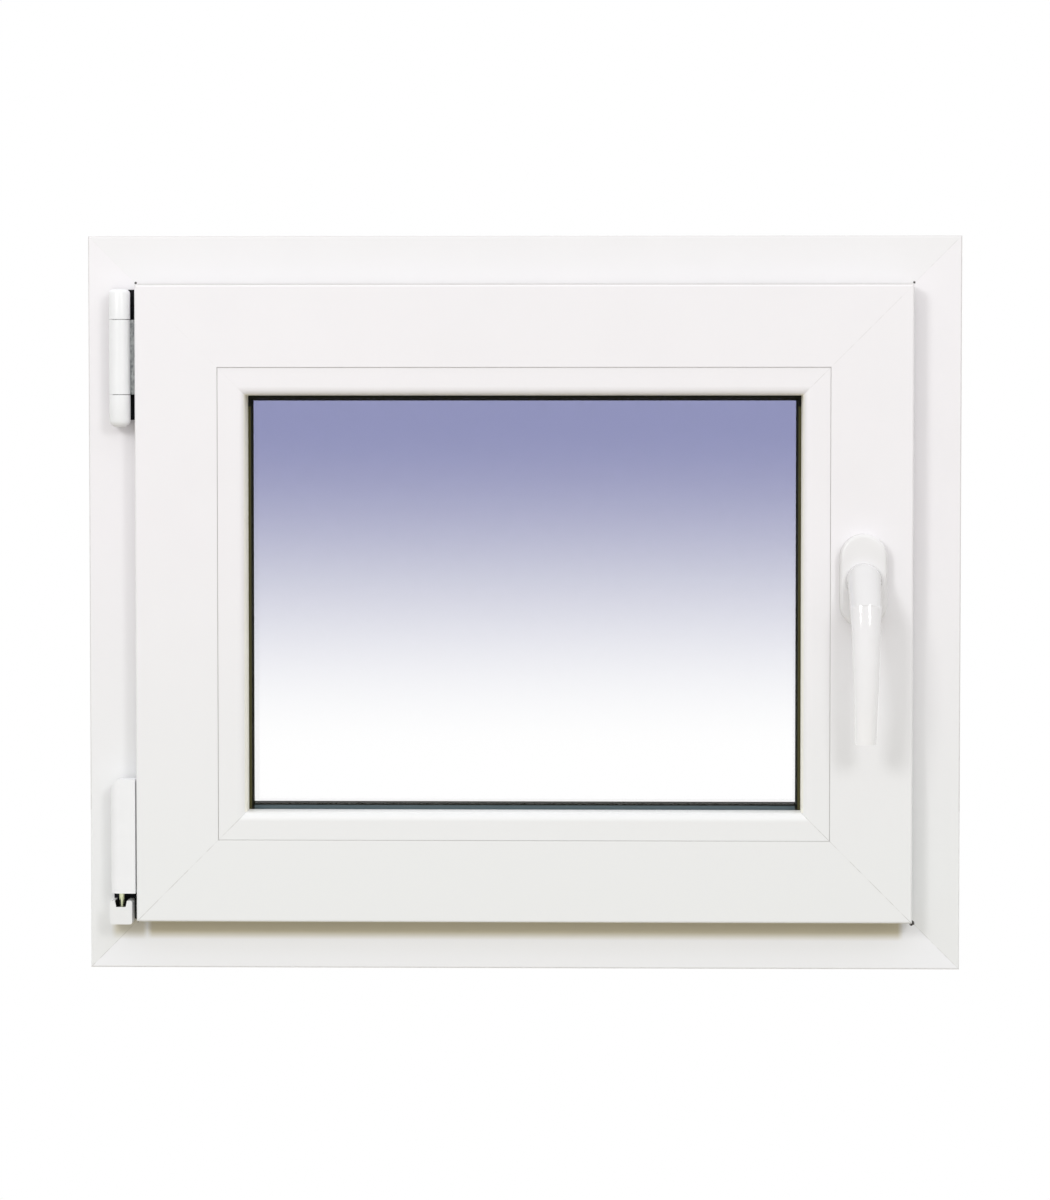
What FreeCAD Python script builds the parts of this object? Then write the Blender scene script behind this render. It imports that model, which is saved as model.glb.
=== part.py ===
# Tilt and turn window in white PVC: outer frame, opening sash, double glazing, hinges and handle.
# Millimetres. +X to the right seen from the room, +Y to the outside, +Z up.
# The origin is on the underside of the frame, at the middle of its width and depth.
# A section is drawn in (u, y): u runs inwards from the frame's outer edge, y is the window's own Y.

import FreeCAD
import Part
import math
import os

V = FreeCAD.Vector

# Rounded rims and the lever's belly are built in short straight steps
ROUNDING_STEPS = 4
GRIP_STEPS = 5

# Driving dimensions of the outer frame
FRAME_WIDTH = 600.0
FRAME_HEIGHT = 505.0
FRAME_DEPTH = 70.0
FRAME_BLOCK = 42.0          # height of the frame profile on the room side
STOP_HEIGHT = 22.0          # how far the outside stop stands over the rebate
STOP_THICKNESS = 16.0
FRAME_EDGE_RADIUS = 1.2
FRAME_ROOM_CHAMBER = 17.0   # room face to the first web
PROFILE_WALL = 2.8
PROFILE_WEB = 1.6

# Grooves round the frame's outer edge, for fixing lugs and sills
LUG_GROOVE_WIDTH = 10.0
LUG_GROOVE_DEPTH = 4.0
LUG_GROOVE_LIP = 1.2
LUG_GROOVE_OFFSET = 19.0    # groove centre from the middle of the depth

# Sash profile
SASH_OVERLAP = 8.0          # how far the sash laps over the frame's room face
FLANGE_THICKNESS = 16.0
FLANGE_WIDTH = 20.0
SASH_FACE = 56.5            # sash edge to glazing bead, seen from the room
SASH_EDGE_RADIUS = 1.6
SEAL_GAP = 4.0              # between sash and frame, filled by the gaskets
HARDWARE_GROOVE_WIDTH = 16.0
HARDWARE_GROOVE_DEPTH = 4.0
HARDWARE_CHANNEL_WIDTH = 12.0
HARDWARE_CHANNEL_DEPTH = 5.0
GLAZING_LIP_HEIGHT = 16.5
GLAZING_LIP_THICKNESS = 14.0
GLAZING_LIP_BEVEL = 5.0

# Glazing bead and glass unit
BEAD_WIDTH = 19.0
BEAD_SET_BACK = 0.6         # bead face behind the sash face
BEAD_NOSE_RADIUS = 5.5
BEAD_FOOT_DEPTH = 4.0
BEAD_FOOT_WIDTH = 6.0
BEAD_FOOT_FROM_FACE = 9.0
PANE_THICKNESS = 4.0
PANE_CAVITY = 16.0
PANE_EDGE_CLEARANCE = 5.5
PANE_LIFT = 3.0             # the unit stands on setting blocks
GLAZING_GASKET = 3.0
SPACER_INSET = 6.0
SPACER_HEIGHT = 8.2
SPACER_WALL = 0.8

# Gaskets
GASKET_LIP = 3.5            # how far the glazing gaskets show past bead and lip
GASKET_SEAT = 5.0
GASKET_HEAD = 5.0
GASKET_FOOT = 2.6
GASKET_FOOT_DEPTH = 3.0
GASKET_INSET = 3.0          # gasket from the flange's edge, or from the stop's tip

# Drain slots through the outside face of the bottom rail of the frame
DRAIN_LENGTH = 28.0
DRAIN_HEIGHT = 5.0
DRAIN_DEPTH = 6.0
DRAIN_FROM_EDGE = 150.0
DRAIN_RISE = 33.0
DRAIN_CORNER_RADIUS = 2.3

# Hinges, on the left jamb
HINGE_AXIS_INSET = 23.1     # from the frame's outer edge
HINGE_AXIS_STAND_OFF = 12.0
HINGE_RADIUS = 7.2
HINGE_PIN_RADIUS = 3.0
PIN_CLEARANCE = 0.05
KNUCKLE_GAP = 0.4
UPPER_HINGE_DROP = 3.0      # below the sash's top edge
UPPER_CAP_LENGTH = 20.5
UPPER_SLEEVE_LENGTH = 51.0
LOWER_CAP_LENGTH = 22.0
TOP_CAP_ROUNDING = 3.0
BOTTOM_CAP_ROUNDING = 5.0
LEAF_THICKNESS = 2.5
BAND_WIDTH = 17.3           # cover of the lower hinge's sash band
BAND_LENGTH = 78.5
BAND_SEAM = 0.8             # open seam between the band and the sash
BAND_CORNER_RADIUS = 8.0
BAND_FRONT_RADIUS = 6.2
BAND_BACK_RADIUS = 3.5
BAND_SEAM_RADIUS = 1.0
BEARING_WIDTH = 15.2
BEARING_HEIGHT = 16.3
BEARING_DEPTH = 19.0
BEARING_NOTCH_WIDTH = 8.2
BEARING_NOTCH_DEPTH = 4.2
BEARING_BELOW_SASH = 2.0
BEARING_ROUNDING = 1.5
PIVOT_RADIUS = 1.9
PIVOT_REACH = 15.0          # how far the pivot runs up into the band
BAND_GAP = 5.0              # between the bearing and the band
BAND_STAND_OFF = 19.0       # front of the band from the frame's room face
BEARING_NOTCH_TAPER = 1.0
HINGE_FOOT_WIDTH = 8.0
HINGE_PLATE_MARGIN = 1.0    # plate edge inside the barrel's outline and off the sash
HINGE_CAP_FLOOR = 4.0
BASE_PLATE_THICKNESS = 1.5   # dark plate under the lower hinge's bearing
BASE_PLATE_RISE = 6.0        # how far that plate runs up behind the band
BASE_PLATE_FOOT = 2.0        # and how far above the bearing's foot it starts
LEAF_TENON = 2.0            # how far the leaf runs into the sleeve

# Handle, on the right stile
HANDLE_INSET = 34.4         # handle axis from the sash edge
HANDLE_HEIGHT = 269.2       # handle axis above the frame's underside
ROSETTE_WIDTH = 32.0
ROSETTE_LENGTH = 64.0
ROSETTE_THICKNESS = 10.5
ROSETTE_ROUNDING = 2.5
COLLAR_RADIUS = 12.6
COLLAR_HEIGHT = 1.5
NECK_RADIUS = 12.2
NECK_LENGTH = 5.0           # straight part of the neck, from the collar
NECK_TOP_RADIUS = 11.4
SHOULDER_OUT = 24.0         # middle of the lever's shoulder, from the collar
SHOULDER_DROP = 18.9        # and below the handle axis
SHOULDER_WIDTH = 21.0
SHOULDER_THICKNESS = 18.0
SHOULDER_TILT = 62.0        # 0 faces the room, 90 faces down
BELLY_OUT = 28.5            # where the grip stands furthest out
BELLY_DROP = 42.0
BELLY_WIDTH = 18.8
BELLY_THICKNESS = 15.5
BELLY_TILT = 88.0
GRIP_LENGTH = 109.2         # handle axis to the grip's end
GRIP_END_OUT = 25.0
GRIP_END_WIDTH = 14.3
GRIP_END_THICKNESS = 11.5
GRIP_END_TILT = 93.5
HANDLE_GAP = 0.3
SPINDLE_SIDE = 7.0
SPINDLE_LENGTH = 30.0
SPINDLE_SEAT = 10.0         # how far the spindle sits in the neck
SPINDLE_HOLE_RADIUS = 6.0

# Places that follow from the driving dimensions
ROOM_FACE = -FRAME_DEPTH / 2
OUTSIDE_FACE = FRAME_DEPTH / 2
SASH_EDGE = FRAME_BLOCK - SASH_OVERLAP
FLANGE_BACK = ROOM_FACE - SEAL_GAP
SASH_ROOM_FACE = FLANGE_BACK - FLANGE_THICKNESS
STOP_FACE = OUTSIDE_FACE - STOP_THICKNESS
SASH_OUTSIDE_FACE = STOP_FACE - SEAL_GAP
SASH_REBATE = SASH_EDGE + FLANGE_WIDTH
STOP_TIP = FRAME_BLOCK + STOP_HEIGHT
BEAD_LINE = SASH_EDGE + SASH_FACE
BEAD_EDGE = BEAD_LINE + BEAD_WIDTH
LIP_TIP = BEAD_LINE + GLAZING_LIP_HEIGHT
LIP_FACE = SASH_OUTSIDE_FACE - GLAZING_LIP_THICKNESS
OUTER_PANE_OUT = LIP_FACE - GLAZING_GASKET
OUTER_PANE_IN = OUTER_PANE_OUT - PANE_THICKNESS
INNER_PANE_OUT = OUTER_PANE_IN - PANE_CAVITY
INNER_PANE_IN = INNER_PANE_OUT - PANE_THICKNESS
BEAD_BACK = INNER_PANE_IN - GLAZING_GASKET
BEAD_FACE = SASH_ROOM_FACE + BEAD_SET_BACK
BEAD_FOOT_CENTRE = BEAD_FACE + BEAD_FOOT_FROM_FACE
PANE_EDGE = BEAD_LINE + PANE_EDGE_CLEARANCE
MIDDLE = V(0, 0, FRAME_HEIGHT / 2)
HINGE_X = -FRAME_WIDTH / 2 + HINGE_AXIS_INSET
HINGE_Y = ROOM_FACE - HINGE_AXIS_STAND_OFF
BAND_FRONT = ROOM_FACE - BAND_STAND_OFF
HANDLE_BASE = SASH_ROOM_FACE - ROSETTE_THICKNESS - COLLAR_HEIGHT - HANDLE_GAP
HANDLE_X = FRAME_WIDTH / 2 - SASH_EDGE - HANDLE_INSET

SIDES = {"bottom": 0, "left": 90, "top": 180, "right": 270}


def outline(corners, to_point):
    """Closed wire through (a, b, radius) corners; a radius over 0 rounds that corner with a tangent arc."""
    flat = [(FreeCAD.Vector(a, b, 0), r) for a, b, r in corners]
    edges = []
    ends = []
    for i, (corner, radius) in enumerate(flat):
        before = (flat[i - 1][0] - corner).normalize()
        after = (flat[(i + 1) % len(flat)][0] - corner).normalize()
        if radius <= 0:
            ends.append((corner, None, corner))
            continue
        half_angle = before.getAngle(after) / 2
        reach = radius / math.tan(half_angle)
        bisector = (before + after).normalize()
        centre = corner + bisector * (radius / math.sin(half_angle))
        ends.append((corner + before * reach, centre - bisector * radius, corner + after * reach))
    for i, (start, middle, end) in enumerate(ends):
        if middle is not None:
            edges.append(Part.Arc(to_point(start), to_point(middle), to_point(end)).toShape())
        following = ends[(i + 1) % len(ends)][0]
        if end.distanceToPoint(following) > 1e-6:
            edges.append(Part.LineSegment(to_point(end), to_point(following)).toShape())
    return Part.Wire(Part.__sortEdges__(edges))


def rectangle(u0, u1, y0, y1, radius=0.0):
    """Corners of a rectangular outline, for a chamber or a strip."""
    return [(u0, y0, radius), (u1, y0, radius), (u1, y1, radius), (u0, y1, radius)]


def bar(side, section, chambers=(), lift=0.0):
    """One mitred bar of a ring: the section is extruded along a side and cut at 45 degrees at both ends."""
    turn = SIDES[side]
    upright = turn % 180 == 90
    half_length = (FRAME_HEIGHT if upright else FRAME_WIDTH) / 2
    to_middle = (FRAME_WIDTH if upright else FRAME_HEIGHT) / 2
    deepest = max(u for u, _, _ in section)
    low_y = min(y for _, y, _ in section) - 1
    high_y = max(y for _, y, _ in section) + 1

    def place(p):
        return V(-half_length, p.y, p.x - to_middle)

    face = Part.makeFace([outline(c, place) for c in [section, *chambers]], "Part::FaceMakerBullseye")
    stick = face.extrude(V(2 * half_length, 0, 0))
    reach = deepest + 1
    mitre = Part.Face(Part.makePolygon([
        V(-half_length, low_y, -to_middle),
        V(half_length, low_y, -to_middle),
        V(half_length - reach, low_y, reach - to_middle),
        V(reach - half_length, low_y, reach - to_middle),
        V(-half_length, low_y, -to_middle),
    ])).extrude(V(0, high_y - low_y, 0))
    cut = stick.common(mitre).Solids[0]
    cut.rotate(V(0, 0, 0), V(0, 1, 0), turn)
    cut.translate(MIDDLE + V(0, 0, lift))
    return cut


def lug_groove(centre):
    """Corners of one dovetailed groove in the frame's outer edge, from its room side to its outside."""
    mouth = LUG_GROOVE_WIDTH / 2 - LUG_GROOVE_LIP
    floor = LUG_GROOVE_WIDTH / 2
    return [
        (0, centre + mouth, 0),
        (LUG_GROOVE_DEPTH, centre + floor, 0),
        (LUG_GROOVE_DEPTH, centre - floor, 0),
        (0, centre - mouth, 0),
    ]


def frame_section():
    """Frame profile: a block on the room side and a stop on the outside, round a stepped rebate."""
    foot = GASKET_FOOT / 2
    seat = STOP_TIP - GASKET_INSET - GASKET_HEAD / 2
    return [
        (0, ROOM_FACE, FRAME_EDGE_RADIUS),
        (FRAME_BLOCK, ROOM_FACE, FRAME_EDGE_RADIUS),
        (FRAME_BLOCK, STOP_FACE, 0),
        (seat - foot, STOP_FACE, 0),
        (seat - foot, STOP_FACE + GASKET_FOOT_DEPTH, 0),
        (seat + foot, STOP_FACE + GASKET_FOOT_DEPTH, 0),
        (seat + foot, STOP_FACE, 0),
        (STOP_TIP, STOP_FACE, FRAME_EDGE_RADIUS),
        (STOP_TIP, OUTSIDE_FACE, FRAME_EDGE_RADIUS),
        (0, OUTSIDE_FACE, FRAME_EDGE_RADIUS),
        *lug_groove(LUG_GROOVE_OFFSET),
        *lug_groove(-LUG_GROOVE_OFFSET),
    ]


def frame_chambers():
    """Hollow chambers of the frame profile, between its walls and webs."""
    floor = LUG_GROOVE_DEPTH + PROFILE_WALL
    ceiling = FRAME_BLOCK - PROFILE_WALL
    room_web = ROOM_FACE + FRAME_ROOM_CHAMBER
    outside_web = STOP_FACE - PROFILE_WALL
    gasket_floor = STOP_FACE + GASKET_FOOT_DEPTH + PROFILE_WEB
    return [
        rectangle(floor, ceiling, ROOM_FACE + PROFILE_WALL, room_web),
        rectangle(floor, ceiling, room_web + PROFILE_WEB, outside_web),
        rectangle(floor, ceiling, outside_web + PROFILE_WEB, OUTSIDE_FACE - PROFILE_WALL),
        rectangle(ceiling + PROFILE_WEB, STOP_TIP - PROFILE_WALL, gasket_floor, OUTSIDE_FACE - PROFILE_WALL),
    ]


def sash_section():
    """Sash profile: room-side flange, body with the hardware groove, and the fixed glazing lip outside."""
    foot = GASKET_FOOT / 2
    seat = SASH_EDGE + GASKET_INSET + GASKET_HEAD / 2
    groove_middle = (FLANGE_BACK + SASH_OUTSIDE_FACE) / 2
    groove = HARDWARE_GROOVE_WIDTH / 2
    channel = HARDWARE_CHANNEL_WIDTH / 2
    shelf = SASH_REBATE + HARDWARE_GROOVE_DEPTH
    bottom = shelf + HARDWARE_CHANNEL_DEPTH
    bead_foot = BEAD_FOOT_WIDTH / 2
    return [
        (SASH_EDGE, SASH_ROOM_FACE, SASH_EDGE_RADIUS),
        (BEAD_LINE, SASH_ROOM_FACE, BEAD_SET_BACK / 2),
        (BEAD_LINE, BEAD_FOOT_CENTRE - bead_foot, 0),
        (BEAD_LINE - BEAD_FOOT_DEPTH, BEAD_FOOT_CENTRE - bead_foot, 0),
        (BEAD_LINE - BEAD_FOOT_DEPTH, BEAD_FOOT_CENTRE + bead_foot, 0),
        (BEAD_LINE, BEAD_FOOT_CENTRE + bead_foot, 0),
        (BEAD_LINE, LIP_FACE, 0),
        (LIP_TIP, LIP_FACE, FRAME_EDGE_RADIUS),
        (LIP_TIP, SASH_OUTSIDE_FACE - GLAZING_LIP_BEVEL, FRAME_EDGE_RADIUS),
        (BEAD_LINE, SASH_OUTSIDE_FACE, FRAME_EDGE_RADIUS),
        (SASH_REBATE, SASH_OUTSIDE_FACE, FRAME_EDGE_RADIUS),
        (SASH_REBATE, groove_middle + groove, 0),
        (shelf, groove_middle + groove, 0),
        (shelf, groove_middle + channel, 0),
        (bottom, groove_middle + channel, 0),
        (bottom, groove_middle - channel, 0),
        (shelf, groove_middle - channel, 0),
        (shelf, groove_middle - groove, 0),
        (SASH_REBATE, groove_middle - groove, 0),
        (SASH_REBATE, FLANGE_BACK, 0),
        (seat + foot, FLANGE_BACK, 0),
        (seat + foot, FLANGE_BACK - GASKET_FOOT_DEPTH, 0),
        (seat - foot, FLANGE_BACK - GASKET_FOOT_DEPTH, 0),
        (seat - foot, FLANGE_BACK, 0),
        (SASH_EDGE, FLANGE_BACK, FRAME_EDGE_RADIUS),
    ]


def sash_chambers():
    """Hollow chambers of the sash profile."""
    channel_floor = SASH_REBATE + HARDWARE_GROOVE_DEPTH + HARDWARE_CHANNEL_DEPTH
    low = channel_floor + PROFILE_WALL
    high = BEAD_LINE - BEAD_FOOT_DEPTH - PROFILE_WALL
    room = SASH_ROOM_FACE + PROFILE_WALL
    flange_floor = FLANGE_BACK - GASKET_FOOT_DEPTH - PROFILE_WEB
    groove_middle = (FLANGE_BACK + SASH_OUTSIDE_FACE) / 2
    outside = SASH_OUTSIDE_FACE - PROFILE_WALL
    return [
        rectangle(SASH_EDGE + PROFILE_WALL, SASH_REBATE, room, flange_floor),
        rectangle(SASH_REBATE + PROFILE_WEB, high, room, FLANGE_BACK),
        rectangle(low, high, FLANGE_BACK + PROFILE_WEB, groove_middle),
        rectangle(low, BEAD_LINE - PROFILE_WALL, groove_middle + PROFILE_WEB, outside),
    ]


def bead_section():
    """Glazing bead: flat face, round nose, straight back to the gasket, and a foot in the sash groove."""
    half = BEAD_FOOT_WIDTH / 2
    return [
        (BEAD_LINE, BEAD_FACE, BEAD_SET_BACK / 2),
        (BEAD_EDGE, BEAD_FACE, BEAD_NOSE_RADIUS),
        (BEAD_EDGE, BEAD_BACK, 0),
        (BEAD_LINE, BEAD_BACK, 0),
        (BEAD_LINE, BEAD_FOOT_CENTRE + half, 0),
        (BEAD_LINE - BEAD_FOOT_DEPTH, BEAD_FOOT_CENTRE + half, 0),
        (BEAD_LINE - BEAD_FOOT_DEPTH, BEAD_FOOT_CENTRE - half, 0),
        (BEAD_LINE, BEAD_FOOT_CENTRE - half, 0),
    ]


def bead_chambers():
    """The bead is a hollow extrusion too."""
    return [rectangle(BEAD_LINE + PROFILE_WEB, BEAD_EDGE - PROFILE_WEB,
                      BEAD_FACE + BEAD_NOSE_RADIUS, BEAD_BACK - PROFILE_WEB)]


def glazing_gasket_section(edge, carrier_face, pane_face):
    """Wedge between a carrier and a pane; its lip runs past the carrier's edge and slopes to the glass."""
    return [
        (edge - GASKET_SEAT, carrier_face, 0),
        (edge + GASKET_LIP / 2, carrier_face, GLAZING_GASKET / 4),
        (edge + GASKET_LIP, pane_face, 0),
        (edge - GASKET_SEAT, pane_face, 0),
    ]


def rebate_gasket_section(seat, carrier_face, sealed_face):
    """Gasket with a foot pressed in a groove of its carrier and a head that bears on the opposite face."""
    inwards = 1 if carrier_face > sealed_face else -1
    foot = GASKET_FOOT / 2
    head = GASKET_HEAD / 2
    return [
        (seat - foot, carrier_face + inwards * GASKET_FOOT_DEPTH, 0),
        (seat + foot, carrier_face + inwards * GASKET_FOOT_DEPTH, 0),
        (seat + foot, carrier_face, 0),
        (seat + head, carrier_face, 0),
        (seat + foot, sealed_face, 0),
        (seat - foot, sealed_face, 0),
        (seat - head, carrier_face, 0),
        (seat - foot, carrier_face, 0),
    ]


def spacer_section():
    """Hollow spacer bar between the panes."""
    low = PANE_EDGE + SPACER_INSET
    return rectangle(low, low + SPACER_HEIGHT, INNER_PANE_OUT, OUTER_PANE_IN)


def spacer_chambers():
    low = PANE_EDGE + SPACER_INSET
    return [rectangle(low + SPACER_WALL, low + SPACER_HEIGHT - SPACER_WALL,
                      INNER_PANE_OUT + SPACER_WALL, OUTER_PANE_IN - SPACER_WALL)]


def pane(inner_y):
    """One sheet of glass, from its room-side face."""
    width = FRAME_WIDTH - 2 * PANE_EDGE
    height = FRAME_HEIGHT - 2 * PANE_EDGE
    return Part.makeBox(width, PANE_THICKNESS, height, V(-width / 2, inner_y, PANE_EDGE + PANE_LIFT))


def plate(corners, direction, to_point):
    """A flat piece: an outline extruded along a direction."""
    return Part.Face(outline(corners, to_point)).extrude(direction)


def cylinder(radius, height, low_z):
    return Part.makeCylinder(radius, height, V(HINGE_X, HINGE_Y, low_z), V(0, 0, 1))


def from_left_edge(inset, y, z):
    """A point by its distance from the frame's left edge."""
    return V(-FRAME_WIDTH / 2 + inset, y, z)


def box_between(inset0, inset1, y0, y1, z0, z1):
    """A block given by its limits, measured from the frame's left edge."""
    return Part.makeBox(inset1 - inset0, y1 - y0, z1 - z0, from_left_edge(inset0, y0, z0))


def rounding_steps(radius):
    """(inset, fall) pairs round a quarter circle, from the side wall to the rim's flat."""
    angles = [math.pi / 2 * step / ROUNDING_STEPS for step in range(ROUNDING_STEPS + 1)]
    return [(radius * (1 - math.cos(a)), radius * (1 - math.sin(a))) for a in angles]


def domed_barrel(low, high, rim, rounding):
    """A hinge cap: a cylinder on the hinge axis whose rim, at one end, is rounded; turned from its half section."""
    other = low if rim == high else high
    inwards = -1 if rim == high else 1
    curve = [(HINGE_RADIUS - inset, rim + inwards * fall) for inset, fall in rounding_steps(rounding)]
    corners = [(0, other), (HINGE_RADIUS, other), *curve, (0, rim), (0, other)]
    half = Part.Face(Part.makePolygon([V(HINGE_X + r, HINGE_Y, z) for r, z in corners]))
    return half.revolve(V(HINGE_X, HINGE_Y, 0), V(0, 0, 1), 360)


def upper_hinge():
    """Stay hinge at the top left: two caps on a steel plate on the frame, a sleeve and leaf on the sash."""
    top = FRAME_HEIGHT - SASH_EDGE - UPPER_HINGE_DROP
    cap_low = top - UPPER_CAP_LENGTH
    sleeve_high = cap_low - KNUCKLE_GAP
    sleeve_low = sleeve_high - UPPER_SLEEVE_LENGTH
    lower_high = sleeve_low - KNUCKLE_GAP
    lower_low = lower_high - LOWER_CAP_LENGTH
    plate_face = ROOM_FACE - LEAF_THICKNESS
    foot = HINGE_FOOT_WIDTH / 2
    pin_low = lower_low + HINGE_CAP_FLOOR
    pin_high = top - HINGE_CAP_FLOOR
    pin_hole = cylinder(HINGE_PIN_RADIUS + PIN_CLEARANCE, pin_high - pin_low, pin_low)

    def cap(low, high, rim, rounding):
        body = domed_barrel(low, high, rim, rounding)
        stem = box_between(HINGE_AXIS_INSET - foot, HINGE_AXIS_INSET + foot, HINGE_Y, plate_face,
                           low + rounding, high - rounding)
        return body.fuse(stem).removeSplitter().cut(pin_hole)

    leaf = box_between(HINGE_AXIS_INSET + HINGE_RADIUS - LEAF_TENON, SASH_EDGE,
                       HINGE_Y - LEAF_THICKNESS / 2, HINGE_Y + LEAF_THICKNESS / 2, sleeve_low, sleeve_high)
    sleeve = cylinder(HINGE_RADIUS, UPPER_SLEEVE_LENGTH, sleeve_low).cut(pin_hole).cut(leaf)
    return {
        "upper_hinge_plate": box_between(HINGE_AXIS_INSET - HINGE_RADIUS + HINGE_PLATE_MARGIN,
                                         SASH_EDGE - HINGE_PLATE_MARGIN, plate_face, ROOM_FACE,
                                         lower_low + BOTTOM_CAP_ROUNDING, top),
        "upper_hinge_caps": Part.makeCompound([
            cap(cap_low, top, top, TOP_CAP_ROUNDING),
            cap(lower_low, lower_high, lower_low, BOTTOM_CAP_ROUNDING),
        ]),
        "upper_hinge_sleeve": sleeve,
        "upper_hinge_leaf": leaf,
        "upper_hinge_pin": cylinder(HINGE_PIN_RADIUS, pin_high - pin_low, pin_low),
    }


def lower_hinge():
    """Corner hinge at the bottom left: a notched bearing on the frame, a band cover on the sash, and the pivot."""
    bearing_low = SASH_EDGE - BEARING_BELOW_SASH
    bearing_high = bearing_low + BEARING_HEIGHT
    bearing_left = HINGE_AXIS_INSET - BEARING_WIDTH / 2
    front = ROOM_FACE - BEARING_DEPTH
    notch_low = bearing_high - BEARING_NOTCH_DEPTH
    band_low = bearing_high + BAND_GAP
    band_high = band_low + BAND_LENGTH
    band_right = SASH_EDGE - BAND_SEAM
    band_left = band_right - BAND_WIDTH

    def facing(p):
        return from_left_edge(p.x, front, p.y)

    notch = BEARING_NOTCH_WIDTH / 2
    bearing = plate([
        (bearing_left, bearing_low, BEARING_ROUNDING),
        (bearing_left + BEARING_WIDTH, bearing_low, BEARING_ROUNDING),
        (bearing_left + BEARING_WIDTH, bearing_high, BEARING_ROUNDING),
        (HINGE_AXIS_INSET + notch, bearing_high, 0),
        (HINGE_AXIS_INSET + notch - BEARING_NOTCH_TAPER, notch_low, 0),
        (HINGE_AXIS_INSET - notch + BEARING_NOTCH_TAPER, notch_low, 0),
        (HINGE_AXIS_INSET - notch, bearing_high, 0),
        (bearing_left, bearing_high, BEARING_ROUNDING),
    ], V(0, BEARING_DEPTH, 0), facing)

    def level(p):
        return from_left_edge(p.x, p.y, band_low)

    def standing(p):
        return from_left_edge(p.x, BAND_FRONT, p.y)

    cover = plate([
        (band_left, BAND_FRONT, BAND_FRONT_RADIUS),
        (band_right, BAND_FRONT, BAND_SEAM_RADIUS),
        (band_right, FLANGE_BACK, 0),
        (band_left, FLANGE_BACK, BAND_BACK_RADIUS),
    ], V(0, 0, BAND_LENGTH), level)
    front_shape = plate([
        (band_left, band_low, 0),
        (band_right, band_low, 0),
        (band_right, band_high, 0),
        (band_left, band_high, BAND_CORNER_RADIUS),
    ], V(0, FLANGE_BACK - BAND_FRONT, 0), standing)
    cover = cover.common(front_shape).Solids[0]
    pivot_low = bearing_low + HINGE_CAP_FLOOR
    pivot_high = band_low + PIVOT_REACH
    pivot_hole = cylinder(PIVOT_RADIUS + PIN_CLEARANCE, pivot_high - pivot_low, pivot_low)
    base_plate = box_between(bearing_left + HINGE_PLATE_MARGIN, SASH_EDGE - HINGE_PLATE_MARGIN,
                             ROOM_FACE - BASE_PLATE_THICKNESS, ROOM_FACE,
                             bearing_low + BASE_PLATE_FOOT, band_low + BASE_PLATE_RISE)
    return {
        "lower_hinge_plate": base_plate,
        "lower_hinge_bearing": bearing.cut(pivot_hole).cut(base_plate),
        "lower_hinge_band": cover.cut(pivot_hole),
        "lower_hinge_pivot": cylinder(PIVOT_RADIUS, pivot_high - pivot_low, pivot_low),
    }


def handle_ring(stand_off, drop, width, thickness, tilt):
    """One elliptical section of the grip; tilt turns it from facing the room to facing down."""
    centre = V(HANDLE_X, HANDLE_BASE - stand_off, HANDLE_HEIGHT - drop)
    angle = math.radians(tilt)
    normal = V(0, -math.cos(angle), -math.sin(angle))
    ellipse = Part.Ellipse(V(0, 0, 0), width / 2, thickness / 2)
    quarter = math.pi / 2
    arcs = [Part.ArcOfEllipse(ellipse, i * quarter, (i + 1) * quarter).toShape() for i in range(4)]
    across = V(1, 0, 0)
    upright = normal.cross(across)
    section = Part.Wire(arcs)
    section.Placement = FreeCAD.Placement(centre, FreeCAD.Rotation(across, upright, normal, "XYZ"))
    return section


def through_three(stations, middle, share):
    """Values on the parabola through the first station, the one at the middle share, and the last."""
    first = (share - middle) * (share - 1) / middle
    second = share * (share - 1) / (middle * (middle - 1))
    third = share * (share - middle) / (1 - middle)
    return [first * a + second * b + third * c for a, b, c in zip(*stations)]


def lever():
    """The lever: a straight neck and a slanted shoulder with sharp rings, then a bellied, tapering grip."""
    shoulder = handle_ring(SHOULDER_OUT, SHOULDER_DROP, SHOULDER_WIDTH, SHOULDER_THICKNESS, SHOULDER_TILT)
    neck = Part.makeLoft([
        handle_ring(0, 0, 2 * NECK_RADIUS, 2 * NECK_RADIUS, 0),
        handle_ring(NECK_LENGTH, 0, 2 * NECK_TOP_RADIUS, 2 * NECK_TOP_RADIUS, 0),
        shoulder,
    ], True, True)
    stations = [
        (SHOULDER_OUT, SHOULDER_DROP, SHOULDER_WIDTH, SHOULDER_THICKNESS, SHOULDER_TILT),
        (BELLY_OUT, BELLY_DROP, BELLY_WIDTH, BELLY_THICKNESS, BELLY_TILT),
        (GRIP_END_OUT, GRIP_LENGTH, GRIP_END_WIDTH, GRIP_END_THICKNESS, GRIP_END_TILT),
    ]
    belly = (BELLY_DROP - SHOULDER_DROP) / (GRIP_LENGTH - SHOULDER_DROP)
    rings = [handle_ring(*through_three(stations, belly, step / GRIP_STEPS)) for step in range(GRIP_STEPS + 1)]
    grip = Part.makeLoft(rings, True, True)
    return neck.fuse(grip).removeSplitter()


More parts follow.
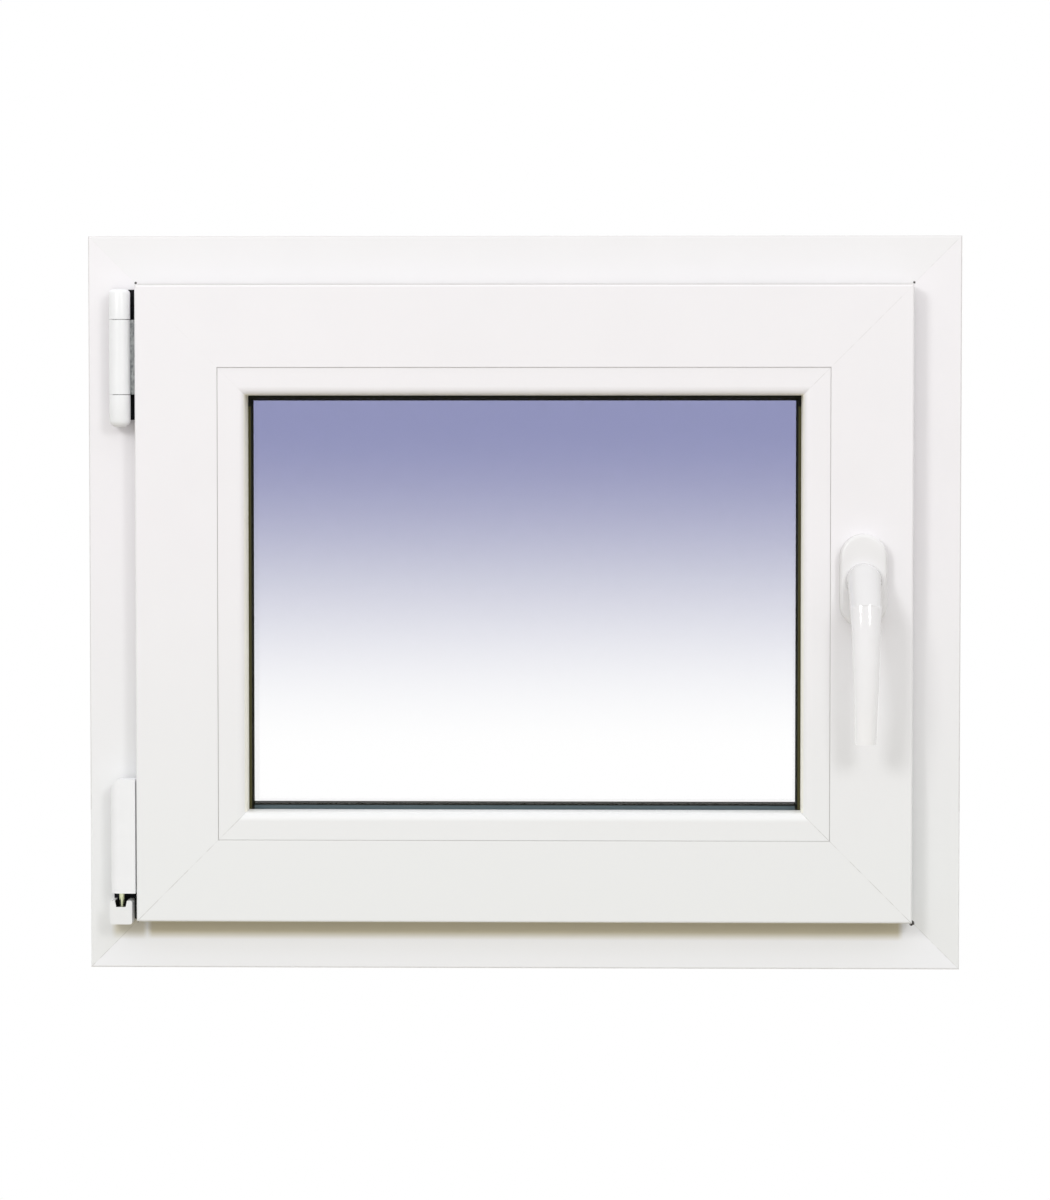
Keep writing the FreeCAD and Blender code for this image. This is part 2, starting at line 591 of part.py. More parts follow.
def handle():
    """Rosette on the sash, and the lever that turns in it on a square spindle."""
    ends = (ROSETTE_LENGTH - ROSETTE_WIDTH) / 2
    front = SASH_ROOM_FACE - ROSETTE_THICKNESS

    def capsule(inset, y):
        radius = ROSETTE_WIDTH / 2 - inset

        def at(x, z):
            return V(HANDLE_X + x, y, HANDLE_HEIGHT + z)

        return Part.Wire([
            Part.LineSegment(at(radius, -ends), at(radius, ends)).toShape(),
            Part.Arc(at(radius, ends), at(0, ends + radius), at(-radius, ends)).toShape(),
            Part.LineSegment(at(-radius, ends), at(-radius, -ends)).toShape(),
            Part.Arc(at(-radius, -ends), at(0, -ends - radius), at(radius, -ends)).toShape(),
        ])

    rim = [capsule(inset, front + fall) for inset, fall in rounding_steps(ROSETTE_ROUNDING)]
    rosette = Part.makeLoft([capsule(0, SASH_ROOM_FACE), *rim], True, True)
    outwards = V(0, -1, 0)
    collar = Part.makeCylinder(COLLAR_RADIUS, COLLAR_HEIGHT, V(HANDLE_X, front, HANDLE_HEIGHT), outwards)
    hole_depth = PROFILE_WALL + PROFILE_WEB
    hole_start = V(HANDLE_X, SASH_ROOM_FACE + hole_depth, HANDLE_HEIGHT)
    hole_length = hole_depth + ROSETTE_THICKNESS + COLLAR_HEIGHT
    spindle_hole = Part.makeCylinder(SPINDLE_HOLE_RADIUS, hole_length, hole_start, outwards)
    rosette = rosette.fuse(collar).removeSplitter().cut(spindle_hole)
    spindle = Part.makeBox(SPINDLE_SIDE, SPINDLE_LENGTH, SPINDLE_SIDE,
                           V(HANDLE_X - SPINDLE_SIDE / 2, HANDLE_BASE - SPINDLE_SEAT, HANDLE_HEIGHT - SPINDLE_SIDE / 2))
    return {
        "handle_rosette": rosette,
        "handle_grip": lever().cut(spindle),
        "handle_spindle": spindle,
    }, spindle_hole


def drain_slot(x):
    """Slot through the outside wall of the frame's bottom bar."""
    half = DRAIN_LENGTH / 2
    return plate([
        (x - half, DRAIN_RISE, DRAIN_CORNER_RADIUS),
        (x + half, DRAIN_RISE, DRAIN_CORNER_RADIUS),
        (x + half, DRAIN_RISE + DRAIN_HEIGHT, DRAIN_CORNER_RADIUS),
        (x - half, DRAIN_RISE + DRAIN_HEIGHT, DRAIN_CORNER_RADIUS),
    ], V(0, -DRAIN_DEPTH, 0), lambda p: V(p.x, OUTSIDE_FACE, p.y))


def ring(name, section, chambers):
    """Four mitred bars round the window, named after their sides."""
    return {f"{name}_{side}": bar(side, section, chambers) for side in SIDES}


def loop(section, chambers=(), lift=0.0):
    """A ring in one piece: its mitres are welded, as on a gasket or a bent spacer bar."""
    bars = [bar(side, section, chambers, lift) for side in SIDES]
    return bars[0].multiFuse(bars[1:]).removeSplitter().Solids[0]


def build():
    pieces = {}
    pieces.update(ring("frame", frame_section(), frame_chambers()))
    pieces.update(ring("sash", sash_section(), sash_chambers()))
    pieces.update(ring("bead", bead_section(), bead_chambers()))
    pieces["spacer_bar"] = loop(spacer_section(), spacer_chambers(), PANE_LIFT)
    pieces["inner_pane"] = pane(INNER_PANE_IN)
    pieces["outer_pane"] = pane(OUTER_PANE_IN)
    gaskets = {
        "inner_glazing_gasket": glazing_gasket_section(BEAD_EDGE, BEAD_BACK, INNER_PANE_IN),
        "outer_glazing_gasket": glazing_gasket_section(LIP_TIP, LIP_FACE, OUTER_PANE_OUT),
        "sash_gasket": rebate_gasket_section(SASH_EDGE + GASKET_INSET + GASKET_HEAD / 2, FLANGE_BACK, ROOM_FACE),
        "frame_gasket": rebate_gasket_section(STOP_TIP - GASKET_INSET - GASKET_HEAD / 2, STOP_FACE,
                                              SASH_OUTSIDE_FACE),
    }
    for name, section in gaskets.items():
        pieces[name] = loop(section)
    pieces.update(upper_hinge())
    pieces.update(lower_hinge())
    handle_pieces, spindle_hole = handle()
    pieces.update(handle_pieces)
    pieces["sash_right"] = pieces["sash_right"].cut(spindle_hole)
    for x in (-FRAME_WIDTH / 2 + DRAIN_FROM_EDGE, FRAME_WIDTH / 2 - DRAIN_FROM_EDGE):
        pieces["frame_bottom"] = pieces["frame_bottom"].cut(drain_slot(x))
    return pieces


os.makedirs("parts", exist_ok=True)
for node, shape in build().items():
    if not shape.isValid() or not shape.Solids:
        raise RuntimeError(f"{node} is not a valid solid")
    shape.exportStep(f"parts/{node}.step")
    print(node, len(shape.Solids), round(shape.Volume), len(shape.Faces))
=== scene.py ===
import bpy, math
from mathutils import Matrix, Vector


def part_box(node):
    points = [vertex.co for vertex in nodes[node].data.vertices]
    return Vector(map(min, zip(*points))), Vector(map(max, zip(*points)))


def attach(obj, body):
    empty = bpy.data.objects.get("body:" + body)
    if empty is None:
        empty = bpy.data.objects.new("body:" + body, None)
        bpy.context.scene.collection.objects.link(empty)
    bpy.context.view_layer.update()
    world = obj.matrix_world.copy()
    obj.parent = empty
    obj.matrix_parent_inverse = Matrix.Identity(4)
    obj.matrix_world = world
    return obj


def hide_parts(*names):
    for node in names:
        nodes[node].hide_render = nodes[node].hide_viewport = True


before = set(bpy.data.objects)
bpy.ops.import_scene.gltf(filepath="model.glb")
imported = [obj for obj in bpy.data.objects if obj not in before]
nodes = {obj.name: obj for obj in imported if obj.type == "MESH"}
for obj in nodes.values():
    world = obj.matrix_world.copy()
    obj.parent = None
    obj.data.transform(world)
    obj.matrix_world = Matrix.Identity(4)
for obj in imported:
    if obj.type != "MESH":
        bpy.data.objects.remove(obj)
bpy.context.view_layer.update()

shown = dict(nodes)  # what gets painted: a node, or its smoothed copy
print("frame loaded:", len(nodes), "nodes")


def linear(hexText):  # sRGB hex to the linear colour that sockets take
    parts = [int(hexText[i:i + 2], 16) / 255 for i in (1, 3, 5)]
    return [p / 12.92 if p <= 0.04045 else ((p + 0.055) / 1.055) ** 2.4 for p in parts] + [1.0]


def addNode(tree, kind, inputs=None, **settings):  # a node with its settings, values and links
    node = tree.nodes.new(kind)
    for name, value in settings.items():
        setattr(node, name, value)
    for socket, value in (inputs or {}).items():
        if isinstance(value, bpy.types.NodeSocket):
            tree.links.new(value, node.inputs[socket])
        else:
            node.inputs[socket].default_value = value
    return node


def newMaterial(name):  # an empty material, with its shader and the place on the piece
    material = bpy.data.materials.new(name)
    material.use_nodes = True
    tree = material.node_tree
    tree.nodes.clear()
    shader = addNode(tree, "ShaderNodeBsdfPrincipled")
    addNode(tree, "ShaderNodeOutputMaterial", {"Surface": shader.outputs[0]})
    place = addNode(tree, "ShaderNodeTexCoord").outputs["Object"]
    return material, tree, shader, place


def layered(tree, colour, layers):  # lays tones over a colour, each by its share
    for share, tone in layers:  # a Mix has its colours at sockets 6 and 7 and the result at 2
        mixed = addNode(tree, "ShaderNodeMix", {0: share, 6: colour, 7: linear(tone)}, data_type="RGBA")
        colour = mixed.outputs[2]
    return colour


def finishSurface(tree, shader, colour, pattern, rough, height, bump):  # bump is strength and depth
    roughness = addNode(tree, "ShaderNodeMapRange", {
        "Value": pattern, "To Min": rough[0], "To Max": rough[1]})
    relief = addNode(tree, "ShaderNodeBump", {"Height": height, "Strength": bump[0], "Distance": bump[1]})
    tree.links.new(colour, shader.inputs["Base Color"])
    tree.links.new(roughness.outputs[0], shader.inputs["Roughness"])
    tree.links.new(relief.outputs[0], shader.inputs["Normal"])


def paint(names, material):
    for name in names:
        piece = shown[name]
        piece.data.materials.clear()
        piece.data.materials.append(material)


# smoothed copies of the rounded pieces
smooth = {
    "mergeWithin": 0.00001,              # corners closer than this become one
    "leverAngle": 15, "coverAngle": 32,  # flatter edges are shaded round, in degrees
}


def smoothCopy(name, body, angle):  # the solid's own mesh, joined up and shaded round
    piece = bpy.data.objects.new(name + "_smooth", nodes[name].data.copy())
    bpy.context.scene.collection.objects.link(piece)
    bpy.ops.object.select_all(action="DESELECT")
    piece.select_set(True)
    bpy.context.view_layer.objects.active = piece
    bpy.ops.mesh.customdata_custom_splitnormals_clear()
    bpy.ops.object.mode_set(mode="EDIT")
    bpy.ops.mesh.select_all(action="SELECT")
    bpy.ops.mesh.remove_doubles(threshold=smooth["mergeWithin"])
    bpy.ops.object.mode_set(mode="OBJECT")
    bpy.ops.object.shade_smooth_by_angle(angle=math.radians(angle))
    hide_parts(name)
    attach(piece, body)
    shown[name] = piece


hingeCovers = ["upper_hinge_caps", "upper_hinge_sleeve", "lower_hinge_band"]
smoothCopy("handle_grip", "handle", smooth["leverAngle"])
for name in ["handle_rosette"] + hingeCovers + ["lower_hinge_bearing"]:
    smoothCopy(name, "window", smooth["coverAngle"])
print("rounded covers smoothed")

# white PVC bars
roomFace = round(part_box("frame_top")[0].y, 6)        # faces and edges of the bars, to the micrometre
sashFace = round(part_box("sash_top")[0].y, 6)
paneFace = round(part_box("inner_pane")[0].y, 6)
outerSide = round(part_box("frame_right")[1].x, 6)
middleHeight = round(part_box("frame_top")[1].z / 2, 6)
sashEdge = round(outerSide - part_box("sash_right")[1].x, 6)
beadTop = round(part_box("bead_bottom")[1].z, 6)

pvc = {
    "bar": ("#F5F3F6", "#F1EFF2", "#EFF1F1"),        # two tones, and a darker one low down as painted shade
    # head: painted shade, a little darker against the light thrown up off the sash
    "head": ("#F3F2F4", "#EFEEF0", "#F1F0F2"),
    # sill: painted light, lighter where the sash above shades it
    "sill": ("#F9FAFD", "#F5F6F9", "#F7F8FB"),
    # painted shade: darker towards the bottom, between these heights
    "footShadeFrom": 0.07, "footShadeTo": 0.30, "footShadeShare": 0.8,
    "mottle": 0.045, "rough": (0.33, 0.42),          # patches of about 45 mm
    "dieLine": 0.0006, "dieStretch": 200,            # drawing lines of about 0.6 mm, drawn out along the bar
    "bump": (0.12, 0.0001), "grooveSink": -2.0, "ior": 1.53,
    "seamShadeTone": "#A9A6A2",                           # painted shade in the weld grooves, with dust, most at the bottom
    "seamFrom": 0.00010, "seamTo": 0.00048,          # a groove about 0.5 mm wide
    "seamLeast": 0.06, "seamLow": 0.5, "seamRight": 0.28,
    "seamBreak": 0.007, "breakFrom": 0.4, "breakTo": 0.6, "breakLeast": 0.15,
    "beadLine": 0.0905, "beadLineHalf": 0.00036, "beadShadeShare": 0.7,  # painted shade line in the joint between bead and sash
    "noseLightTone": "#FFFCEC", "noseLightShare": 0.75,        # painted light on the bead's nose, lighter and creamier beside the glass
    "noseFrom": 0.1080, "noseTo": 0.1092,
    "dustAndShadeTone": "#BFBCB7",                           # dust on the sash's top, and painted shade along its upper edge
    "ledgeShare": 0.7, "ledgeFrom": 0.0003, "ledgeTo": 0.0006,
    "lineShare": 0.3, "lineFrom": 0.0322, "lineTo": 0.0330,         # faint painted shadow line on the frame over the sash
    "arrisShadeShare": 0.45, "arris": 0.0010,             # painted shade on the frame's outer arris, but not at the bottom
    "cornerTone": "#2C2724", "corner": (0.0328, 0.0322, 0.0),  # open corner of the weld, chipped
    "cornerSize": 0.0013, "cornerSoft": 0.0005, "cornerLow": 0.0010, "chip": 0.0014,
    "grimeTone": "#CDC3A2", "grimeShare": 0.82,      # painted shadow under the sash's lower edge
    "grimeFrom": 0.0195, "grimeTo": 0.0252, "grimeEnd": (0.0385, 0.0425),
    "grimeLeft": (0.014, 0.0360), "grimeLeftShare": 0.7, "grimeFade": 0.004,
    "zones": {                                       # parts of the bars: axis, test, limit
        "low": ("Z", "LESS_THAN", middleHeight),
        "right": ("X", "GREATER_THAN", 0.0),
        "aboveBead": ("Z", "GREATER_THAN", beadTop),
        "high": ("Z", "GREATER_THAN", 0.4),
        "underSash": ("Z", "LESS_THAN", sashEdge + 0.0004),
        "beadFace": ("Y", "LESS_THAN", sashFace + 0.004),
        "beforePane": ("Y", "LESS_THAN", paneFace),
        "proud": ("Y", "LESS_THAN", roomFace - 0.0005),
        "roomSide": ("Y", "LESS_THAN", roomFace + 0.0005),
        "nearRoom": ("Y", "LESS_THAN", roomFace + 0.005),
        "behindFace": ("Y", "GREATER_THAN", sashFace + 0.0015),
    },
}


def fromOuterEdge(tree, xyz):  # how far in from the frame's outer edge, from the sides and from the ends
    depths = []
    for axis, middle, half in (("X", 0.0, outerSide), ("Z", middleHeight, middleHeight)):
        away = addNode(tree, "ShaderNodeMath", {0: xyz[axis], 1: middle}, operation="SUBTRACT").outputs[0]
        away = addNode(tree, "ShaderNodeMath", {0: away}, operation="ABSOLUTE").outputs[0]
        depths.append(addNode(tree, "ShaderNodeMath", {0: half, 1: away}, operation="SUBTRACT").outputs[0])
    return depths


def seamLines(tree, place, zone, fromSide, fromEnd, inset):  # painted shade and dust in the welded mitres, and painted shade on the line round the beads
    offMitre = addNode(tree, "ShaderNodeMath", {0: fromSide, 1: fromEnd}, operation="SUBTRACT").outputs[0]
    offMitre = addNode(tree, "ShaderNodeMath", {0: offMitre}, operation="ABSOLUTE").outputs[0]
    seam = addNode(tree, "ShaderNodeMapRange", {
        "Value": offMitre, "From Min": pvc["seamFrom"], "From Max": pvc["seamTo"],
        "To Min": 1.0, "To Max": 0.0}).outputs[0]
    soiled = pvc["seamLeast"]
    for key, most in (("low", pvc["seamLow"]), ("right", pvc["seamRight"])):
        share = addNode(tree, "ShaderNodeMath", {0: zone[key], 1: most}, operation="MULTIPLY").outputs[0]
        soiled = addNode(tree, "ShaderNodeMath", {0: soiled, 1: share}, operation="MAXIMUM").outputs[0]
    broken = addNode(tree, "ShaderNodeTexNoise", {
        "Vector": place, "Scale": 1 / pvc["seamBreak"], "Detail": 2.0}).outputs[0]
    broken = addNode(tree, "ShaderNodeMapRange", {
        "Value": broken, "From Min": pvc["breakFrom"], "From Max": pvc["breakTo"],
        "To Min": pvc["breakLeast"]}).outputs[0]
    for mask in (soiled, broken):
        seam = addNode(tree, "ShaderNodeMath", {0: seam, 1: mask}, operation="MULTIPLY").outputs[0]
    offBead = addNode(tree, "ShaderNodeMath", {0: inset, 1: pvc["beadLine"]}, operation="SUBTRACT").outputs[0]
    offBead = addNode(tree, "ShaderNodeMath", {0: offBead}, operation="ABSOLUTE").outputs[0]
    bead = addNode(tree, "ShaderNodeMapRange", {
        "Value": offBead, "From Min": 0.0, "From Max": pvc["beadLineHalf"],
        "To Min": pvc["beadShadeShare"], "To Max": 0.0}).outputs[0]
    bead = addNode(tree, "ShaderNodeMath", {0: bead, 1: zone["beadFace"]}, operation="MULTIPLY").outputs[0]
    return addNode(tree, "ShaderNodeMath", {0: seam, 1: bead}, operation="MAXIMUM").outputs[0]


def beadNoseLight(tree, zone, inset):
    # painted light on the shaded nose beside the glass
    nose = addNode(tree, "ShaderNodeMapRange", {
        "Value": inset, "From Min": pvc["noseFrom"], "From Max": pvc["noseTo"],
        "To Max": pvc["noseLightShare"]}).outputs[0]
    for key in ("beforePane", "aboveBead"):
        nose = addNode(tree, "ShaderNodeMath", {0: nose, 1: zone[key]}, operation="MULTIPLY").outputs[0]
    return nose


def edgeDustAndShade(tree, zone, fromSide, fromEnd, inset):  # dust and painted shade on the sash's top edge, a painted shadow line over it, painted shade on the frame's arris
    offEdge = addNode(tree, "ShaderNodeMath", {0: fromEnd, 1: sashEdge}, operation="SUBTRACT").outputs[0]
    offEdge = addNode(tree, "ShaderNodeMath", {0: offEdge}, operation="ABSOLUTE").outputs[0]
    ledge = addNode(tree, "ShaderNodeMapRange", {
        "Value": offEdge, "From Min": pvc["ledgeFrom"], "From Max": pvc["ledgeTo"],
        "To Min": pvc["ledgeShare"], "To Max": 0.0}).outputs[0]
    for key in ("high", "proud"):
        ledge = addNode(tree, "ShaderNodeMath", {0: ledge, 1: zone[key]}, operation="MULTIPLY").outputs[0]
    line = addNode(tree, "ShaderNodeMapRange", {
        "Value": fromEnd, "From Min": pvc["lineFrom"], "From Max": pvc["lineTo"],
        "To Max": pvc["lineShare"]}).outputs[0]
    overSash = addNode(tree, "ShaderNodeMath", {0: fromEnd, 1: sashEdge}, operation="LESS_THAN").outputs[0]
    inSash = addNode(tree, "ShaderNodeMath", {0: fromSide, 1: sashEdge}, operation="GREATER_THAN").outputs[0]
    for mask in (overSash, inSash, zone["aboveBead"]):
        line = addNode(tree, "ShaderNodeMath", {0: line, 1: mask}, operation="MULTIPLY").outputs[0]
    arris = addNode(tree, "ShaderNodeMapRange", {
        "Value": inset, "From Min": pvc["arris"] / 2, "From Max": pvc["arris"],
        "To Min": pvc["arrisShadeShare"], "To Max": 0.0}).outputs[0]
    arris = addNode(tree, "ShaderNodeMath", {0: arris, 1: zone["aboveBead"]}, operation="MULTIPLY").outputs[0]
    line = addNode(tree, "ShaderNodeMath", {0: line, 1: arris}, operation="MAXIMUM").outputs[0]
    line = addNode(tree, "ShaderNodeMath", {0: line, 1: zone["roomSide"]}, operation="MULTIPLY").outputs[0]
    return addNode(tree, "ShaderNodeMath", {0: ledge, 1: line}, operation="MAXIMUM").outputs[0]


def sillGrime(tree, zone, xyz, fromSide):  # painted shadow between the sash's ends, and a short piece of painted shadow under the lower hinge
    grime = addNode(tree, "ShaderNodeMapRange", {
        "Value": xyz["Z"], "From Min": pvc["grimeFrom"], "From Max": pvc["grimeTo"],
        "To Max": pvc["grimeShare"]}).outputs[0]
    between = addNode(tree, "ShaderNodeMapRange", {
        "Value": fromSide, "From Min": pvc["grimeEnd"][0], "From Max": pvc["grimeEnd"][1]}).outputs[0]
    start, stop = pvc["grimeLeft"]
    fromLeft = addNode(tree, "ShaderNodeMath", {0: xyz["X"], 1: outerSide}, operation="ADD").outputs[0]
    leftEnd = addNode(tree, "ShaderNodeMapRange", {
        "Value": fromLeft, "From Min": start, "From Max": start + pvc["grimeFade"],
        "To Max": pvc["grimeLeftShare"]}).outputs[0]
    leftStop = addNode(tree, "ShaderNodeMapRange", {
        "Value": fromLeft, "From Min": stop, "From Max": stop + pvc["grimeFade"],
        "To Min": 1.0, "To Max": 0.0}).outputs[0]
    leftEnd = addNode(tree, "ShaderNodeMath", {0: leftEnd, 1: leftStop}, operation="MULTIPLY").outputs[0]
    between = addNode(tree, "ShaderNodeMath", {0: between, 1: leftEnd}, operation="MAXIMUM").outputs[0]
    for mask in (zone["underSash"], zone["nearRoom"], between):
        grime = addNode(tree, "ShaderNodeMath", {0: grime, 1: mask}, operation="MULTIPLY").outputs[0]
    return grime


def weldCorner(tree, place, zone, fromSide, fromEnd):  # ragged dark spot, larger at the bottom right
    spot = addNode(tree, "ShaderNodeCombineXYZ", {0: fromSide, 1: fromEnd}).outputs[0]
    spot = addNode(tree, "ShaderNodeVectorMath", {
        0: spot, 1: pvc["corner"]}, operation="DISTANCE").outputs["Value"]
    chips = addNode(tree, "ShaderNodeTexNoise", {
        "Vector": place, "Scale": 1 / pvc["chip"], "Detail": 2.0}).outputs[0]
    worst = addNode(tree, "ShaderNodeMath", {
        0: zone["low"], 1: zone["right"]}, operation="MULTIPLY").outputs[0]
    for mask, reach in ((chips, pvc["chip"]), (worst, -pvc["cornerLow"])):
        spot = addNode(tree, "ShaderNodeMath", {
            0: mask, 1: reach, 2: spot}, operation="MULTIPLY_ADD").outputs[0]
    corner = addNode(tree, "ShaderNodeMapRange", {
        "Value": spot, "From Min": pvc["cornerSize"], "From Max": pvc["cornerSize"] + pvc["cornerSoft"],
        "To Min": 1.0, "To Max": 0.0}).outputs[0]
    for key in ("nearRoom", "behindFace"):
        corner = addNode(tree, "ShaderNodeMath", {0: corner, 1: zone[key]}, operation="MULTIPLY").outputs[0]
    return corner


def profilePvc(name, along, tone, toneLow, footShadeTone):
    # extruded PVC: satin white, faint drawing lines along the bar, thin grey lines of painted shade and dust
    # where it is welded
    material, tree, shader, place = newMaterial(name)
    xyz = addNode(tree, "ShaderNodeSeparateXYZ", {0: place}).outputs
    zone = {}
    for key, (axis, test, limit) in pvc["zones"].items():
        zone[key] = addNode(tree, "ShaderNodeMath", {0: xyz[axis], 1: limit}, operation=test).outputs[0]
    fromSide, fromEnd = fromOuterEdge(tree, xyz)
    inset = addNode(tree, "ShaderNodeMath", {0: fromSide, 1: fromEnd}, operation="MINIMUM").outputs[0]
    patches = addNode(tree, "ShaderNodeTexNoise", {
        "Vector": place, "Scale": 1 / pvc["mottle"], "Detail": 3.0}).outputs[0]
    # painted shade: the bars darker towards the bottom
    footShade = addNode(tree, "ShaderNodeMapRange", {
        "Value": xyz["Z"], "From Min": pvc["footShadeFrom"], "From Max": pvc["footShadeTo"],
        "To Min": pvc["footShadeShare"], "To Max": 0.0}).outputs[0]
    groove = seamLines(tree, place, zone, fromSide, fromEnd, inset)
    colour = layered(tree, linear(tone), (
        (patches, toneLow),
        (footShade, footShadeTone),
        (beadNoseLight(tree, zone, inset), pvc["noseLightTone"]),
        (groove, pvc["seamShadeTone"]),
        (edgeDustAndShade(tree, zone, fromSide, fromEnd, inset), pvc["dustAndShadeTone"]),
        (sillGrime(tree, zone, xyz, fromSide), pvc["grimeTone"]),
        (weldCorner(tree, place, zone, fromSide, fromEnd), pvc["cornerTone"])))
    fine = 1 / pvc["dieLine"]
    stretch = [fine if axis != along else fine / pvc["dieStretch"] for axis in "XYZ"]
    drawn = addNode(tree, "ShaderNodeVectorMath", {0: place, 1: stretch}, operation="MULTIPLY").outputs[0]
    lines = addNode(tree, "ShaderNodeTexNoise", {"Vector": drawn, "Scale": 1.0, "Detail": 1.0}).outputs[0]
    sunk = addNode(tree, "ShaderNodeMath", {
        0: groove, 1: pvc["grooveSink"], 2: lines}, operation="MULTIPLY_ADD").outputs[0]
    finishSurface(tree, shader, colour, patches, pvc["rough"], sunk, pvc["bump"])
    shader.inputs["IOR"].default_value = pvc["ior"]
    return material


rails = ["sash_top", "sash_bottom", "bead_top", "bead_bottom"]
stiles = [ring + side for ring in ("frame", "sash", "bead") for side in ("_left", "_right")]
# the head is painted shade and the sill painted light: the same PVC a little darker and lighter
paint(["frame_top"], profilePvc("extruded_pvc_head", "X", *pvc["head"]))
paint(["frame_bottom"], profilePvc("extruded_pvc_sill", "X", *pvc["sill"]))
paint(rails, profilePvc("extruded_pvc_rail", "X", *pvc["bar"]))
paint(stiles, profilePvc("extruded_pvc_stile", "Z", *pvc["bar"]))
print("PVC bars painted")

# moulded hinge covers and rosette
cover = {
    "hinge": ("#F7F8FA", "#F2F3F5"), "bearing": ("#F0F1F2", "#EBECED"), "rosette": ("#EDECED", "#E9E8E9"),
    "rim": "#D2D1D0", "rimFrom": -0.0635, "rimTo": -0.0600,  # painted shade on the rosette's foot, near the sash
    "spark": 0.0009, "mottle": 0.012, "rough": (0.28, 0.38), "bump": (0.08, 0.0001), "ior": 1.50,
}
mouthShade = {  # painted shade: black inside the bearing's mouth, a little wider towards the top
    "tone": "#0C0C0D", "axis": -0.2769, "floor": 0.0441, "under": -0.00005, "half": 0.00318, "taper": 0.238,
}


def mouthShadeShare(tree, xyz):
    aside = addNode(tree, "ShaderNodeMath", {0: xyz["X"], 1: mouthShade["axis"]}, operation="SUBTRACT").outputs[0]
    aside = addNode(tree, "ShaderNodeMath", {0: aside}, operation="ABSOLUTE").outputs[0]
    above = addNode(tree, "ShaderNodeMath", {0: xyz["Z"], 1: mouthShade["floor"]}, operation="SUBTRACT").outputs[0]
    reach = addNode(tree, "ShaderNodeMath", {
        0: above, 1: mouthShade["taper"], 2: mouthShade["half"]}, operation="MULTIPLY_ADD").outputs[0]
    within = addNode(tree, "ShaderNodeMath", {0: aside, 1: reach}, operation="LESS_THAN").outputs[0]
    above = addNode(tree, "ShaderNodeMath", {0: above, 1: mouthShade["under"]}, operation="GREATER_THAN").outputs[0]
    return addNode(tree, "ShaderNodeMath", {0: within, 1: above}, operation="MULTIPLY").outputs[0]


def mouldedCover(name, tone, toneLow, mouthShaded=False, rimmed=False):
    # injection moulded plastic: a shade softer than the bars, with a fine spark-eroded grain
    material, tree, shader, place = newMaterial(name)
    xyz = addNode(tree, "ShaderNodeSeparateXYZ", {0: place}).outputs
    patches = addNode(tree, "ShaderNodeTexNoise", {
        "Vector": place, "Scale": 1 / cover["mottle"], "Detail": 2.0}).outputs[0]
    layers = [(patches, toneLow)]
    if rimmed:  # painted shade, duller round the foot near the sash
        rim = addNode(tree, "ShaderNodeMapRange", {
            "Value": xyz["Y"], "From Min": cover["rimFrom"], "From Max": cover["rimTo"]}).outputs[0]
        layers.append((rim, cover["rim"]))
    # painted shade inside the bearing's mouth
    if mouthShaded:
        layers.append((mouthShadeShare(tree, xyz), mouthShade["tone"]))
    colour = layered(tree, linear(tone), layers)
    grain = addNode(tree, "ShaderNodeTexNoise", {
        "Vector": place, "Scale": 1 / cover["spark"], "Detail": 1.0}).outputs[0]
    finishSurface(tree, shader, colour, patches, cover["rough"], grain, cover["bump"])
    shader.inputs["IOR"].default_value = cover["ior"]
    return material


paint(hingeCovers, mouldedCover("moulded_hinge_cover", *cover["hinge"]))
paint(["lower_hinge_bearing"], mouldedCover("moulded_bearing_cover", *cover["bearing"], mouthShaded=True))
paint(["handle_rosette"], mouldedCover("moulded_rosette", *cover["rosette"], rimmed=True))
print("hinge covers painted")

# lacquered lever
lacquer = {
    "tone": "#EFEEF0", "toneLow": "#EBEAEC",
    "neck": "#E2E1E2", "neckFrom": 0.2528, "neckTo": 0.2542,  # painted shade above the crease, a little darker
    "tip": "#FDFDFF", "tipFrom": 0.250, "tipTo": 0.160,       # painted light, whiter towards the tip
    "mottle": 0.02, "peel": 0.0025, "rough": (0.06, 0.09), "bump": (0.03, 0.0002),
}


def powderCoat(name):
    # white powder coat on cast metal: glossy, with a slight orange peel that softens the highlights
    material, tree, shader, place = newMaterial(name)
    height = addNode(tree, "ShaderNodeSeparateXYZ", {0: place}).outputs["Z"]
    patches = addNode(tree, "ShaderNodeTexNoise", {
        "Vector": place, "Scale": 1 / lacquer["mottle"], "Detail": 2.0}).outputs[0]
    # painted light towards the tip and painted shade at the neck
    tip = addNode(tree, "ShaderNodeMapRange", {
        "Value": height, "From Min": lacquer["tipTo"], "From Max": lacquer["tipFrom"],
        "To Min": 1.0, "To Max": 0.0}).outputs[0]
    neck = addNode(tree, "ShaderNodeMapRange", {
        "Value": height, "From Min": lacquer["neckFrom"], "From Max": lacquer["neckTo"]}).outputs[0]
    colour = layered(tree, linear(lacquer["tone"]), (
        (patches, lacquer["toneLow"]), (tip, lacquer["tip"]), (neck, lacquer["neck"])))
    peel = addNode(tree, "ShaderNodeTexNoise", {
        "Vector": place, "Scale": 1 / lacquer["peel"], "Detail": 0.0}).outputs[0]
    finishSurface(tree, shader, colour, patches, lacquer["rough"], peel, lacquer["bump"])
    return material


paint(["handle_grip"], powderCoat("powder_coated_lever"))
print("lever painted")

# bare metal
metal = {
    "zinc": ("#8A8C8B", "#404345", 0.38),        # light tone, dark tone, roughness
    "passivated": ("#DDE0C2", "#B4B98E", 0.32),
    # painted shade: black for the plates behind the hinges
    "shadeBlack": ("#26272A", "#0E0E10", 0.5),
    "streak": 0.0007, "streakStretch": 0.1,      # rubbing streaks, ten times as long as wide
    "spangle": 0.0018, "spangleShare": 0.3, "rampFrom": 0.4, "rampTo": 0.85,
    "smoother": 0.08, "rougher": 0.1, "bump": (0.2, 0.0001),
}


